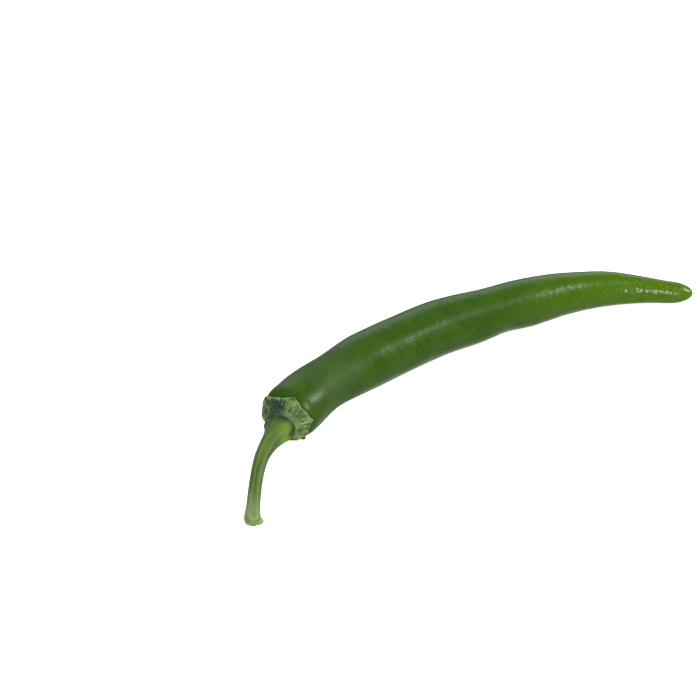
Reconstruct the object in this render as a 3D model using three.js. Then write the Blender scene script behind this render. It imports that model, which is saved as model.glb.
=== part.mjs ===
// A long green chilli pepper lying on a table, as picked: the pod, the calyx that caps it and the stem.
// Millimetres, +Z up. The pod lies along +X with its tip at the far end, and bends in the plane of the table.
// The origin is under the middle of the whole chilli, on the table.
//
// Each piece is turned round a straight axis, as on a lathe, and is then bent along the curve it grew on.
// The curves are written from the growing point, in the middle of the pod where the calyx's teeth end.
// A distance along a curve is "along", positive towards the tip on the pod and away from the pod on the stem.
// "turn" is the angle round it, seen from behind the pod: 0 at the left, 90 on top, 180 at the right.
import * as THREE from "three";

// ---- driving dimensions ----
const POD_LENGTH = 156; // from the calyx's rim to the tip, along the bend
const POD_RADIUS = 8.9; // at the belly, the thickest place
const SHOULDER_START = 3.5; // where the pod begins to round off into its shoulder
const SHOULDER_DEPTH = 6.2; // from there back to the shoulder's pole, under the calyx
const TIP_LENGTH = 6; // the blunt end's rounding
const CALYX_WALL = 0.6;
const SEAT_GAP = 0.3; // between two pieces that touch
const STEM_LENGTH = 36;
const STEM_RADIUS = 1.8; // at the shank, the thinnest place
const STEM_DROP = 0.8; // how far below the shoulder's pole the stem sits

// ---- faceting ----
const POD_SIDES = 24;
const POD_STATIONS = 46;
const SHOULDER_STEPS = 8;
const TIP_STEPS = 6;
const CALYX_SIDES = 60;
const CALYX_STEPS = 8;
const STEM_SIDES = 15;
const STEM_STATIONS = 26;

// ---- how the pod grew ----
// [share of the pod's length, share of the belly's radius]
const POD_GIRTH = [
  [0, 0.95],
  [0.05, 0.955],
  [0.13, 0.91],
  [0.235, 0.99],
  [0.4, 0.965],
  [0.55, 0.9],
  [0.7, 0.78],
  [0.8, 0.66],
  [0.88, 0.495],
  [0.96, 0.39],
  [1, 0.33],
];
// [share of the pod's length, heading of its axis in degrees, 0 along +X and positive to the left]
const POD_HEADING = [
  [-0.05, 33],
  [0, 31],
  [0.07, 24],
  [0.16, 13],
  [0.32, 9.5],
  [0.45, 1],
  [0.62, -3],
  [0.75, -9],
  [0.84, -23],
  [0.91, -33],
  [1, -25],
];
// [share of the pod's length, height of its underside above the table]
const POD_LIFT = [
  [0, 0.6],
  [0.08, 0.8],
  [0.25, 0.15],
  [0.42, 0],
  [0.6, 0.25],
  [0.85, 0],
  [1, 0.7],
];
// The two ends are rounded off along a superellipse: 2 is an ellipse, more is squarer.
const SHOULDER_SQUARENESS = 2.4;
const TIP_SQUARENESS = 2.1;
const LOBES = 3; // the seed chambers show as faint lobes
const LOBE_DEPTH = 0.018; // as a share of the radius
const LOBE_TURN = 35; // where the first lobe stands, in degrees
const LOBE_TWIST = 25; // how far the lobes wind round over the pod's length, in degrees
// Soft swellings and hollows of the skin: where each is, how far it reaches and how high it stands.
const SWELLINGS = [
  { along: 7, turn: 25, reach: 9, height: -0.6 },
  { along: 6, turn: 222, reach: 8, height: 0.7 },
  { along: 18, turn: 60, reach: 11, height: -0.35 },
  { along: 24, turn: 215, reach: 8, height: -0.25 },
  { along: 37, turn: 20, reach: 10, height: 0.15 },
  { along: 52, turn: 150, reach: 12, height: 0.25 },
  { along: 66, turn: 10, reach: 9, height: 0.45 },
  { along: 78, turn: 225, reach: 9, height: 0.3 },
  { along: 84, turn: 50, reach: 8, height: -0.4 },
  { along: 88, turn: 215, reach: 6, height: -0.5 },
  { along: 99, turn: 208, reach: 9, height: 0.65 },
  { along: 107, turn: 30, reach: 10, height: 0.2 },
  { along: 120, turn: 120, reach: 9, height: -0.2 },
  { along: 133, turn: 20, reach: 9, height: 0.3 },
  { along: 142, turn: 200, reach: 7, height: -0.3 },
];

// ---- the calyx ----
// A latitude on the pod's shoulder is 0 at its pole, where the stem sits, and 90 where the shoulder begins.
const SINUS_LATITUDE = 52; // of the rim between two teeth
const TOOTH_SPREAD = 33; // half of the angle over which the rim rises to a tooth
const TEETH = [
  { turn: 47, latitude: 62 },
  { turn: 113, latitude: 64 },
  { turn: 173, latitude: 63 },
  { turn: 228, latitude: 67 },
  { turn: 287, latitude: 64 },
  { turn: 345, latitude: 61 },
];

// ---- the stem ----
// [share of the stem's length, share of the shank's radius]
const STEM_GIRTH = [
  [0, 2.75],
  [0.05, 2.45],
  [0.12, 1.85],
  [0.22, 1.4],
  [0.38, 1.12],
  [0.6, 1],
  [0.8, 1.02],
  [0.92, 1.25],
  [1, 1.4],
];
// [share of the stem's length, heading in degrees, slope in degrees: negative falls]
const STEM_HEADING = [
  [0, 212],
  [0.05, 228],
  [0.12, 221],
  [0.25, 217],
  [0.42, 229],
  [0.65, 236],
  [0.88, 240],
  [1, 256],
];
const STEM_SLOPE = [
  [0, -3],
  [0.3, -10],
  [0.7, -14],
  [0.9, -11],
  [1, -6],
];
const STEM_RIDGES = 5;
const RIDGE_DEPTH = 0.07; // as a share of the radius
const FOOT_FLATTEN = 0.12; // how much thinner than wide the stem's foot is
const CUT_ROUNDING = 0.5; // at the edge of the stem's cut end

// A smooth curve through [place, value] knots that never overshoots them.
function through(knots, place) {
  const last = knots.length - 1;
  if (place <= knots[0][0]) return knots[0][1];
  if (place >= knots[last][0]) return knots[last][1];
  const rise = (i) =>
    (knots[i + 1][1] - knots[i][1]) / (knots[i + 1][0] - knots[i][0]);
  const slope = (i) => {
    if (i === 0 || i === last) return 0;
    const before = rise(i - 1);
    const after = rise(i);
    return before * after <= 0 ? 0 : (2 * before * after) / (before + after);
  };
  const i = knots.findIndex((knot) => knot[0] > place) - 1;
  const span = knots[i + 1][0] - knots[i][0];
  const t = (place - knots[i][0]) / span;
  const eased = t * t * (3 - 2 * t);
  return (
    knots[i][1] * (1 - eased) +
    knots[i + 1][1] * eased +
    slope(i) * span * t * (1 - t) * (1 - t) -
    slope(i + 1) * span * t * t * (1 - t)
  );
}

const radians = THREE.MathUtils.degToRad;

// The shorter way round from one turn to another, in degrees.
function turnBetween(a, b) {
  return Math.abs(THREE.MathUtils.euclideanModulo(a - b + 180, 360) - 180);
}

// ---- the pod's own shape ----
function podRadius(along) {
  return POD_RADIUS * through(POD_GIRTH, along / POD_LENGTH);
}

// The share by which lobes, swellings and hollows move the skin out at a place on the pod.
function podSwell(along, turn) {
  const wound = turn - LOBE_TURN - (LOBE_TWIST * along) / POD_LENGTH;
  let share = 1 + LOBE_DEPTH * Math.cos(radians(LOBES * wound));
  for (const { along: at, turn: side, reach, height } of SWELLINGS) {
    const across = radians(turnBetween(turn, side)) * podRadius(at);
    const away = Math.hypot(along - at, across) / reach;
    share += (height / podRadius(at)) * Math.exp(-away * away);
  }
  return share;
}

// The curve that a piece grew on, walked in short steps from its start: point and direction at any distance.
function grownCurve(start, from, to, directionAt) {
  const step = 0.25;
  const points = [start.clone()];
  for (let along = from; along < to; along += step)
    points.push(
      points
        .at(-1)
        .clone()
        .addScaledVector(directionAt(along + step / 2), step),
    );
  return (along) => {
    const place = THREE.MathUtils.clamp(
      (along - from) / step,
      0,
      points.length - 1.001,
    );
    const i = Math.floor(place);
    return {
      centre: points[i].clone().lerp(points[i + 1], place - i),
      direction: directionAt(along),
    };
  };
}

function headingVector(heading, slope) {
  const level = Math.cos(radians(slope));
  return new THREE.Vector3(
    Math.cos(radians(heading)) * level,
    Math.sin(radians(heading)) * level,
    Math.sin(radians(slope)),
  );
}

// The pod's axis seen from above. Its height follows from its girth, because its underside lies on the table.
const podTrack = (() => {
  const flat = (along) => headingVector(through(POD_HEADING, along / POD_LENGTH), 0);
  const back = 2 * SHOULDER_DEPTH; // far enough for the calyx and the stem's seat
  const start = new THREE.Vector3().addScaledVector(flat(-back / 2), -back);
  return grownCurve(start, -back, POD_LENGTH + 1, flat);
})();

function podHeight(along) {
  return podRadius(along) + through(POD_LIFT, along / POD_LENGTH);
}

function podAxis(along) {
  const { centre, direction } = podTrack(along);
  const climb = podHeight(along + 0.5) - podHeight(along - 0.5);
  centre.z = podHeight(along);
  direction.z = climb;
  return { centre, direction: direction.normalize() };
}

// ---- the stem's own curve, which leaves the middle of the calyx ----
const stemSeat = podAxis(SHOULDER_START - SHOULDER_DEPTH - 2 * SEAT_GAP - CALYX_WALL);
stemSeat.centre.z -= STEM_DROP;
const stemAxis = grownCurve(stemSeat.centre, 0, STEM_LENGTH + 1, (along) =>
  headingVector(
    through(STEM_HEADING, along / STEM_LENGTH),
    through(STEM_SLOPE, along / STEM_LENGTH),
  ),
);

// Bends a piece turned round the Y axis along a grown curve. shape gives each vertex its radius and place.
function bendAlong(geometry, axisAt, shape) {
  const up = new THREE.Vector3(0, 0, 1);
  const position = geometry.getAttribute("position");
  for (let i = 0; i < position.count; i++) {
    const x = position.getX(i);
    const z = position.getZ(i);
    const turn = THREE.MathUtils.radToDeg(Math.atan2(-z, x));
    const placed = shape(Math.hypot(x, z), position.getY(i), turn);
    const { centre, direction } = axisAt(placed.along);
    const left = up.clone().cross(direction).normalize();
    const over = direction.clone().cross(left);
    centre.addScaledVector(left, placed.radius * Math.cos(radians(turn)));
    centre.addScaledVector(over, placed.radius * Math.sin(radians(turn)));
    position.setXYZ(i, centre.x, centre.y, centre.z);
  }
  geometry.deleteAttribute("normal");
  geometry.deleteAttribute("uv");
  geometry.computeVertexNormals();
  return geometry;
}

// A place on a rounded end, whose radius and depth follow one superellipse. Latitude 0 is its pole.
function roundedEnd(radius, depth, squareness, latitude) {
  const power = 2 / squareness;
  return {
    radius: radius * Math.sin(radians(latitude)) ** power,
    depth: depth * Math.cos(radians(latitude)) ** power,
  };
}

// A place on the pod's shoulder, or at a distance out from it.
function shoulderPlace(latitude, clearance = 0) {
  const { radius, depth } = roundedEnd(
    podRadius(SHOULDER_START) + clearance,
    SHOULDER_DEPTH + clearance,
    SHOULDER_SQUARENESS,
    latitude,
  );
  return { radius, along: SHOULDER_START - depth };
}

// ---- the pod ----
function makePod() {
  const outline = [];
  for (let i = 0; i < SHOULDER_STEPS; i++) {
    const { radius, along } = shoulderPlace((i / SHOULDER_STEPS) * 90);
    outline.push(new THREE.Vector2(radius, along));
  }
  const tipStart = POD_LENGTH - TIP_LENGTH;
  for (let i = 0; i < POD_STATIONS; i++) {
    const along = THREE.MathUtils.lerp(SHOULDER_START, tipStart, i / POD_STATIONS);
    outline.push(new THREE.Vector2(podRadius(along), along));
  }
  for (let i = TIP_STEPS; i >= 0; i--) {
    const tip = roundedEnd(1, TIP_LENGTH, TIP_SQUARENESS, (i / TIP_STEPS) * 90);
    const along = tipStart + tip.depth;
    outline.push(new THREE.Vector2(podRadius(along) * tip.radius, along));
  }
  const turned = new THREE.LatheGeometry(outline, POD_SIDES);
  return bendAlong(turned, podAxis, (radius, along, turn) => ({
    radius: radius * podSwell(along, turn),
    along,
  }));
}

// ---- the calyx ----
// The latitude that the rim reaches at a turn: it runs nearly straight from tooth to tooth.
function rimLatitude(turn) {
  let latitude = SINUS_LATITUDE;
  for (const tooth of TEETH) {
    const near = 1 - turnBetween(turn, tooth.turn) / TOOTH_SPREAD;
    const rise = (tooth.latitude - SINUS_LATITUDE) * Math.max(near, 0);
    latitude = Math.max(latitude, SINUS_LATITUDE + rise);
  }
  return latitude;
}

// A thin round plate, turned with a radius of 1, is laid over the shoulder out to its rim.
function makeCalyx() {
  const outline = [];
  for (let i = 0; i <= CALYX_STEPS; i++)
    outline.push(new THREE.Vector2(i / CALYX_STEPS, 0));
  for (let i = CALYX_STEPS; i >= 0; i--)
    outline.push(new THREE.Vector2(i / CALYX_STEPS, 1));
  const turned = new THREE.LatheGeometry(outline, CALYX_SIDES);
  return bendAlong(turned, podAxis, (share, inside, turn) => {
    const clearance = SEAT_GAP + CALYX_WALL * (1 - inside);
    const place = shoulderPlace(share * rimLatitude(turn), clearance);
    return {
      radius: place.radius * podSwell(place.along, turn),
      along: place.along,
    };
  });
}

// ---- the stem ----
function makeStem() {
  const girth = (along) =>
    STEM_RADIUS * through(STEM_GIRTH, along / STEM_LENGTH);
  const outline = [new THREE.Vector2(0, 0)];
  for (let i = 0; i <= STEM_STATIONS; i++) {
    const along = ((STEM_LENGTH - CUT_ROUNDING) * i) / STEM_STATIONS;
    outline.push(new THREE.Vector2(girth(along), along));
  }
  outline.push(
    new THREE.Vector2(girth(STEM_LENGTH) - CUT_ROUNDING, STEM_LENGTH),
  );
  outline.push(new THREE.Vector2(0, STEM_LENGTH));
  const turned = new THREE.LatheGeometry(outline, STEM_SIDES);
  return bendAlong(turned, stemAxis, (radius, along, turn) => {
    const share = along / STEM_LENGTH;
    const ridged = 1 + RIDGE_DEPTH * Math.cos(radians(STEM_RIDGES * turn));
    const foot = through(
      [
        [0.8, 0],
        [1, FOOT_FLATTEN],
      ],
      share,
    );
    const flat = 1 - foot * Math.sin(radians(turn)) ** 2;
    return { radius: radius * ridged * flat, along };
  });
}

// ---- assembly ----
function piece(name, geometry, color, roughness) {
  const material = new THREE.MeshStandardMaterial({
    color,
    roughness,
    metalness: 0,
  });
  const mesh = new THREE.Mesh(geometry, material);
  mesh.name = name;
  return mesh;
}

const grown = new THREE.Group();
grown.add(piece("pod", makePod(), "#44661f", 0.3));
grown.add(piece("calyx", makeCalyx(), "#445a33", 0.65));
grown.add(piece("stem", makeStem(), "#6f8c47", 0.55));

// The origin goes under the middle of the chilli, on the table.
const box = new THREE.Box3().setFromObject(grown, true);
const middle = box.getCenter(new THREE.Vector3());
grown.position.set(-middle.x, -middle.y, -box.min.z);

const chilli = new THREE.Group();
chilli.add(grown);

export default chilli;
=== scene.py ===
"""A long green chilli pepper lying on a pale table: the pod, the calyx that caps it and the stem.

Metres, +Z up. The pod lies along +X, tip at the far end, and its underside rests on Z = 0. Each piece is
shaped round a straight axis and then bent along the curve it grew on. Two words are used throughout:
"along" is the distance on that curve from where it starts, and "turn" is the angle round it in degrees,
seen from behind the pod: 0 at the left, 90 on top, 180 at the right and 270 underneath.
"""

import functools
import math

import bmesh
import bpy
import numpy as np
from bpy.props import FloatProperty, FloatVectorProperty, IntProperty, PointerProperty
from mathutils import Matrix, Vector, noise


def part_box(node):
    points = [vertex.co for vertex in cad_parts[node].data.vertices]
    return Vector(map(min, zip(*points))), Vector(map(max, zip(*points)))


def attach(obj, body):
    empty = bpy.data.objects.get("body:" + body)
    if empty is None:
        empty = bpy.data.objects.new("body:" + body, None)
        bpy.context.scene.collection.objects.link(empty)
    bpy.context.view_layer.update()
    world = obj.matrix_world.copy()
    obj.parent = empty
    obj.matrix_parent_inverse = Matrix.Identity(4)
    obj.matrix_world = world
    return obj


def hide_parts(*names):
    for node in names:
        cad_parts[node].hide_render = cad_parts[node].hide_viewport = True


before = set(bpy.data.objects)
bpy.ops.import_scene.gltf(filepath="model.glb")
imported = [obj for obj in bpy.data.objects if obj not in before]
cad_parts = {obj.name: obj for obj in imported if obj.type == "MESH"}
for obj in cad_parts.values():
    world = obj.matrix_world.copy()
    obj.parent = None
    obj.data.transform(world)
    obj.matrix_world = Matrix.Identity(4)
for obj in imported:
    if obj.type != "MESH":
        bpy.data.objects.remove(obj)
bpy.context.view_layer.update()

bl_info = {
    "name": "Chilli Pepper",
    "version": (1, 0, 0),
    "blender": (4, 5, 0),
    "location": "3D View > Sidebar > Chilli",
    "description": "A long green chilli pepper with its calyx and stem, lying on a pale table",
    "category": "Add Mesh",
}

MM = 0.001

# ---- how the pod grew ----
# [share of the pod's length, share of the belly's radius]
POD_GIRTH = [
    (0, 0.95), (0.05, 0.955), (0.13, 0.91), (0.235, 0.99), (0.4, 0.965), (0.55, 0.9),
    (0.7, 0.78), (0.8, 0.66), (0.88, 0.495), (0.96, 0.39), (1, 0.33),
]
# [share of the pod's length, heading of its axis in degrees, positive to the left]
POD_HEADING = [
    (-0.05, 33), (0, 31), (0.07, 24), (0.16, 13), (0.32, 9.5), (0.45, 1),
    (0.62, -3), (0.75, -9), (0.84, -23), (0.91, -33), (1, -25),
]
# [share of the pod's length, height of its underside above the table in millimetres]
POD_LIFT = [(0, 0.6), (0.08, 0.8), (0.25, 0.15), (0.42, 0), (0.6, 0.25), (0.85, 0), (1, 0.7)]
SHOULDER_SQUARENESS = 2.4  # the ends round off along a superellipse: 2 is an ellipse, more is squarer
TIP_SQUARENESS = 2.1
# Soft swellings and hollows of the skin: along, turn, reach and height, the lengths in millimetres.
# The last six are slight ones that the CAD solid leaves out.
SWELLINGS = [
    (7, 25, 9, -0.6), (6, 222, 8, 0.7), (18, 60, 11, -0.35), (24, 215, 8, -0.25),
    (37, 20, 10, 0.15), (52, 150, 12, 0.25), (66, 10, 9, 0.45), (78, 225, 9, 0.3),
    (84, 50, 8, -0.4), (88, 215, 6, -0.5), (99, 208, 9, 0.65), (107, 30, 10, 0.2),
    (120, 120, 9, -0.2), (133, 20, 9, 0.3), (142, 200, 7, -0.3),
    (5, 145, 6, 0.5), (14, 148, 6, -0.3), (21, 140, 9, 0.45), (139, 55, 8, 0.5),
    (151, 60, 5, -0.1), (150, 235, 5, 0.2),
]
POD_STEP = 0.45 * MM  # between two rings of the pod
POD_SEED = 3  # moves the pattern of its slight dents
END_STEPS = 26  # rings in each rounded end
CURVE_STEP = 0.25 * MM  # each piece's curve is walked in steps of this length
PAST_END = 1 * MM  # and runs on this far past the piece's end
SLOPE_REACH = 0.5 * MM  # the pod's slope is taken between two places this far to each side
SAME_POINT = 0.0005 * MM  # points of a finished mesh that lie closer than this become one

# ---- the calyx's teeth ----
# [turn, latitude on the pod's shoulder] of the calyx's edge, whose corners are its teeth.
# A latitude is 0 at the shoulder's pole, where the stem sits, and 90 where the shoulder begins.
CALYX_EDGE = [
    (12, 42), (40, 52), (62, 45.5), (85, 44.5), (113, 57), (138, 51.5), (170, 59), (195, 53),
    (220, 55), (253, 46), (287, 55), (318, 45), (345, 51), (372, 42),
]
# turn of each tooth, how dry its spur is, how bleached, how far it lifts and its half width in millimetres
TEETH = [
    (40, 0.95, 0.0, 0.1, 0.5), (113, 0.85, 0.1, 0.05, 0.7), (169, 1.0, 0.85, 0.25, 0.45),
    (220, 1.0, 0.1, 0.3, 0.7), (287, 0.8, 0.4, 0.1, 0.5), (345, 0.9, 0.1, 0.2, 0.6),
]
SPUR_SPREAD = 7.5  # degrees that a spur spreads round the rim for each millimetre of its half width
DRY_SPREAD = 9  # the same for the dry colour
BLEACHED_REACH = 9  # degrees round the rim over which a spur is bleached
LIFT_REACH = 6  # degrees round the rim over which a tooth lifts
FAN_REACH = 30  # degrees round the rim over which a tooth's rib fans out
CREST_REACH = 7  # and the reach of the rib's crest
EDGE_WAVE = 1.2  # degrees of latitude by which the rim wanders between its corners
EDGE_WAVES = 6  # how often it does so round the rim, and where in the noise it is drawn
EDGE_SEED = 7.0
CURL = 0.22 * MM  # how far the rim curls up between two teeth
COLLAR_HEIGHT = 1.3 * MM  # how far the collar climbs up the stem's flare, where it is highest
COLLAR_TOP = 108  # the turn round the stem where it is highest, and how far to each side it stays high
COLLAR_REACH = 48
COLLAR_BITE = 0.15 * MM  # how deep it sinks into the stem
COLLAR_ROLL = 0.9 * MM  # the room that it takes to roll over onto the shoulder
LEAST_BAND = 7  # degrees of latitude that the cap has at its narrowest
PUCKER_SIZE = 1.1 * MM
CRUMPLE_SIZE = 0.9 * MM
CRUMPLE_SEED = 31.7
PLEATS_ROUND = 9  # how fast the pleats follow each other round the cap, and how fast they change outwards
PLEATS_OUT = 1.5
SHADED_TURN = 68  # the side of the cap that is darkest, partly in its own colour and partly as painted shade, and its reach
SHADED_REACH = 50
CALYX_COLUMNS = 480
CALYX_ROWS = 84
COLLAR_SHARE = 0.3  # of the rows, those that climb from the stem to the shoulder
EDGE_ROWS = 4
INNER_ROWS = 12

# ---- how the stem grew ----
# [share of the stem's length, share of the shank's radius]
STEM_GIRTH = [
    (-0.03, 2.2), (0, 2.48), (0.04, 2.42), (0.12, 1.85), (0.22, 1.4), (0.38, 1.12),
    (0.6, 1), (0.8, 1.02), (0.92, 1.18), (1, 1.3),
]
# [share of the stem's length, heading in degrees], and then its slope: negative falls
STEM_HEADING = [
    (0, 212), (0.05, 228), (0.12, 221), (0.25, 217), (0.42, 229), (0.65, 236), (0.88, 240), (1, 256),
]
STEM_SLOPE = [(0, -3), (0.3, -10), (0.7, -14), (0.9, -11), (1, -6)]
STEM_STEP = 0.15 * MM
STEM_SEED = 11
STEM_ROOT = -1 * MM  # the stem reaches this far into the calyx
ROOT_RINGS = (0.003 * MM, 0.001 * MM)  # two rings, a hair behind the root, close its flat end
FLARE_LENGTH = 9 * MM
FOOT_SQUARENESS = 2.6
YELLOW_TURN = math.radians(20)  # the side of the flare that is yellowest
LIP_TURN = -15  # the side of the foot that draws out into a lip
HEEL_SHARE = 0.2  # height of the bulge opposite the lip, as a share of the lip's
FLARE_CREASE = (5.4 * MM, 0.3 * MM, 0.07 * MM)  # the crease round the flare: place, reach and depth
NICK_TURN = math.radians(150)
NICK_PLACE = 28 * MM  # along the stem
FULL_GIRTH = 0.8 * MM  # nearer the axis than this, the foot's lip and heel fade out


# ---- colours ----
def linear(code):
    """The linear colour, with its alpha, of an sRGB hex code."""
    shares = [int(code[i:i + 2], 16) / 255 for i in (1, 3, 5)]
    return tuple(s / 12.92 if s <= 0.04045 else ((s + 0.055) / 1.055) ** 2.4 for s in shares) + (1.0,)


def length_value(name, description, millimetres):
    return FloatProperty(name=name, description=description, default=millimetres * MM,
                         unit="LENGTH", subtype="DISTANCE", precision=5)


def angle_value(name, description, degrees):
    return FloatProperty(name=name, description=description, default=math.radians(degrees),
                         unit="ROTATION", subtype="ANGLE")


def colour_value(name, description, code):
    return FloatVectorProperty(name=name, description=description, default=linear(code),
                               size=4, min=0, max=1, subtype="COLOR")


def share_value(name, description, share):
    return FloatProperty(name=name, description=description, default=share, min=0, max=1, subtype="FACTOR")


def power_value(name, description, power):
    return FloatProperty(name=name, description=description, default=power, min=0)


# ---- settings ----
class PodSettings(bpy.types.PropertyGroup):
    """Sizes and colours of the pod."""

    length: length_value("Length", "From the calyx's rim to the tip, along the bend", 156)
    radius: length_value("Radius", "Radius at the belly, the thickest place", 8.9)
    shoulder_start: length_value("Shoulder Start", "Where the pod begins to round off behind", 3.5)
    shoulder_depth: length_value("Shoulder Depth", "From there back to the shoulder's pole", 6.2)
    tip_length: length_value("Tip Length", "Length of the blunt end's rounding", 6)
    sides: IntProperty(name="Sides", description="Points in one ring of the skin", default=192, min=24)
    lobes: IntProperty(name="Lobes", description="Seed chambers that show as faint lobes", default=3, min=0)
    lobe_depth: share_value("Lobe Depth", "Height of a lobe as a share of the radius", 0.018)
    lobe_turn: angle_value("Lobe Turn", "Where the first lobe stands", 35)
    lobe_twist: angle_value("Lobe Twist", "How far the lobes wind round over the length", 25)
    dent_height: length_value("Dent Height", "Height of the skin's slight unevenness", 0.09)
    dent_width: length_value("Dent Width", "Size of that unevenness across the pod", 5)
    dent_length: length_value("Dent Length", "Size of that unevenness along the pod", 8)
    deep: colour_value("Deep Green", "The darker patches of the skin", "#294606")
    fresh: colour_value("Fresh Green", "The lighter patches of the skin", "#2e4c07")
    young: colour_value("Young Green", "The skin towards the tip", "#446307")
    spot: colour_value("Spot", "Small darker spots in the skin", "#284b00")
    scar: colour_value("End Scar", "The dry mark at the very tip", "#4a4a22")


class CalyxSettings(bpy.types.PropertyGroup):
    """Sizes and colours of the calyx."""

    wall: length_value("Wall", "Thickness of the calyx", 0.6)
    rim_wall: length_value("Rim Wall", "Thickness at its edge", 0.32)
    seat_gap: length_value("Seat Gap", "Clearance between two pieces that touch", 0.3)
    spur_latitude: angle_value("Spur", "How far a tooth's dry spur reaches past it", 4)
    rib_height: length_value("Rib Height", "Height of the rib that runs to each tooth", 0.5)
    crown_height: length_value("Crown Height", "Height of the swollen ring round the stem", 0.25)
    wrinkle_height: length_value("Wrinkle Height", "Height of the wrinkles", 0.21)
    pleat_height: length_value("Pleat Height", "Height of the pleats that run out to the edge", 0.22)
    # Painted shade and light: the hollows of the folds and pleats are painted in the hollow colour as shade,
    # and their raised parts in the ridge colour as light.
    hollow: colour_value("Hollow", "The blue-green hollows", "#243c2b")
    ridge: colour_value("Ridge", "The lighter ribs and folds", "#728d46")
    rim: colour_value("Rim", "The pale edge", "#8d9a5c")
    dry: colour_value("Dry Spur", "The dry, dark spurs", "#33291c")
    bleached: colour_value("Bleached Spur", "The spurs that have bleached to tan", "#8f7c54")


class StemSettings(bpy.types.PropertyGroup):
    """Sizes and colours of the stem."""

    length: length_value("Length", "From the calyx to the end of its foot, along the bend", 36.8)
    radius: length_value("Radius", "Radius at the shank, the thinnest place", 1.8)
    drop: length_value("Drop", "How far below the shoulder's pole the stem sits", 0.8)
    lean: length_value("Lean", "How far the flare leans to its left", 0.7)
    sides: IntProperty(name="Sides", description="Points in one ring of the stem", default=120, min=24)
    ridges: IntProperty(name="Ridges", description="Ridges that run down the stem", default=5, min=0)
    ridge_depth: share_value("Ridge Depth", "Height of a ridge as a share of the radius", 0.07)
    ridge_turn: angle_value("Ridge Turn", "Where the first ridge stands", 36)
    ridge_twist: angle_value("Ridge Twist", "How far the ridges wind round over the length", 20)
    streak_height: length_value("Streak Height", "Height of the fine lengthwise ridges", 0.1)
    streak_width: length_value("Streak Width", "Width of one fine ridge", 0.7)
    streak_length: length_value("Streak Length", "Length of one fine ridge", 11)
    foot_rounding: length_value("Foot Rounding", "Length of the rounding at the foot", 2.3)
    lip_height: length_value("Lip Height", "How far the foot's lip stands out on one side", 0.95)
    foot_flatten: share_value("Foot Flatten", "How much thinner than wide the foot is", 0.12)
    green: colour_value("Green", "The stem's own green", "#455b29")
    # Painted shade: the furrows and the flare's far side are painted in the furrow colour, which is also the
    # fibres' darker tone.
    furrow: colour_value("Furrow", "The darker furrows between ridges", "#2f4522")
    # Painted light: the flare's near side is painted in the bright colour, as well as the stem's real
    # yellower streaks.
    bright: colour_value("Bright", "Yellower streaks", "#5f7c18")
    # Painted shade: the crease colour is painted where the stem leaves the calyx.
    crease: colour_value("Crease", "The dark crease round the stem at the calyx", "#24361f")
    foot: colour_value("Foot", "The pale foot", "#82955a")
    brown: colour_value("Brown", "Rubbed and dried places", "#8a6a4c")


class StageSettings(bpy.types.PropertyGroup):
    """The floor, the lights and the camera."""

    floor: colour_value("Floor", "The pale floor", "#f4f4f2")
    floor_glow: share_value("Floor Glow", "Light that the floor gives off itself, as a light table does", 0.3)
    floor_shine: share_value("Floor Shine", "The same as the camera sees it, which thins the shadows", 0.75)
    overhead: power_value("Overhead", "Strength of the overhead light", 3.1)
    shoulder_power: power_value("Shoulder Power", "Watts of the light at the right", 3.4)
    belly_power: power_value("Belly Power", "Watts of the small light above it", 0.08)
    fill_power: power_value("Fill Power", "Watts of the soft light at the left", 0.65)
    front_power: power_value("Front Power", "Watts of the light in front", 3.8)
    back_power: power_value("Back Power", "Watts of the soft light behind", 2.3)
    surround: share_value("Surround", "Brightness of the studio's walls in reflections", 0.06)
    table_glow: share_value("Table Glow", "Brightness of the table in reflections", 0.65)
    azimuth: angle_value("Camera Azimuth", "Round from the front, positive to the right", -30)
    elevation: angle_value("Camera Elevation", "Above the table", 35)
    distance: length_value("Camera Distance", "From the place it looks at", 490)
    lens: FloatProperty(name="Lens", description="Focal length in millimetres", default=80, unit="CAMERA")
    target: FloatVectorProperty(name="Target", description="The place the camera looks at",
                                default=(-22.35 * MM, 32.98 * MM, 0), subtype="TRANSLATION", unit="LENGTH")


# ---- shape maths, on whole arrays of places ----
def through(knots, place):
    """A smooth curve through (place, value) knots that never overshoots them."""
    places, values = np.array(knots, float).T
    rise = np.diff(values) / np.diff(places)
    before, after = rise[:-1], rise[1:]
    same_way = before * after > 0
    slope = np.zeros(len(places))
    slope[1:-1][same_way] = (2 * before * after / np.where(same_way, before + after, 1))[same_way]
    held = np.clip(place, places[0], places[-1])
    i = np.clip(np.searchsorted(places, held, side="right") - 1, 0, len(places) - 2)
    span = places[i + 1] - places[i]
    t = (held - places[i]) / span
    eased = t * t * (3 - 2 * t)
    bend = slope[i] * span * t * (1 - t) ** 2 - slope[i + 1] * span * t * t * (1 - t)
    return values[i] * (1 - eased) + values[i + 1] * eased + bend


def ease(low, high, value):
    """0 below low, 1 above high, and smooth between them."""
    t = np.clip((value - low) / (high - low), 0, 1)
    return t * t * (3 - 2 * t)


def hump(value, middle, reach):
    return np.exp(-((value - middle) / reach) ** 2)


def turn_between(a, b):
    """The shorter way round from one turn to another, in degrees, with its sign."""
    return (a - b + 180) % 360 - 180


def heading_vector(heading, slope):
    heading, slope = np.broadcast_arrays(np.radians(heading), np.radians(slope))
    level = np.cos(slope)
    return np.stack([np.cos(heading) * level, np.sin(heading) * level, np.sin(slope)], -1)


def unit(vectors):
    return vectors / np.linalg.norm(vectors, axis=-1, keepdims=True)


def grown_curve(start, begin, end, direction_at):
    """Walks the curve that a piece grew on in short steps, and returns its points at any distance."""
    places = np.arange(begin, end + CURVE_STEP, CURVE_STEP)
    walked = np.cumsum(direction_at(places[:-1] + CURVE_STEP / 2) * CURVE_STEP, axis=0)
    points = np.vstack([[start], start + walked])
    return lambda along: np.stack([np.interp(along, places, points[:, k]) for k in range(3)], -1)


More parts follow.
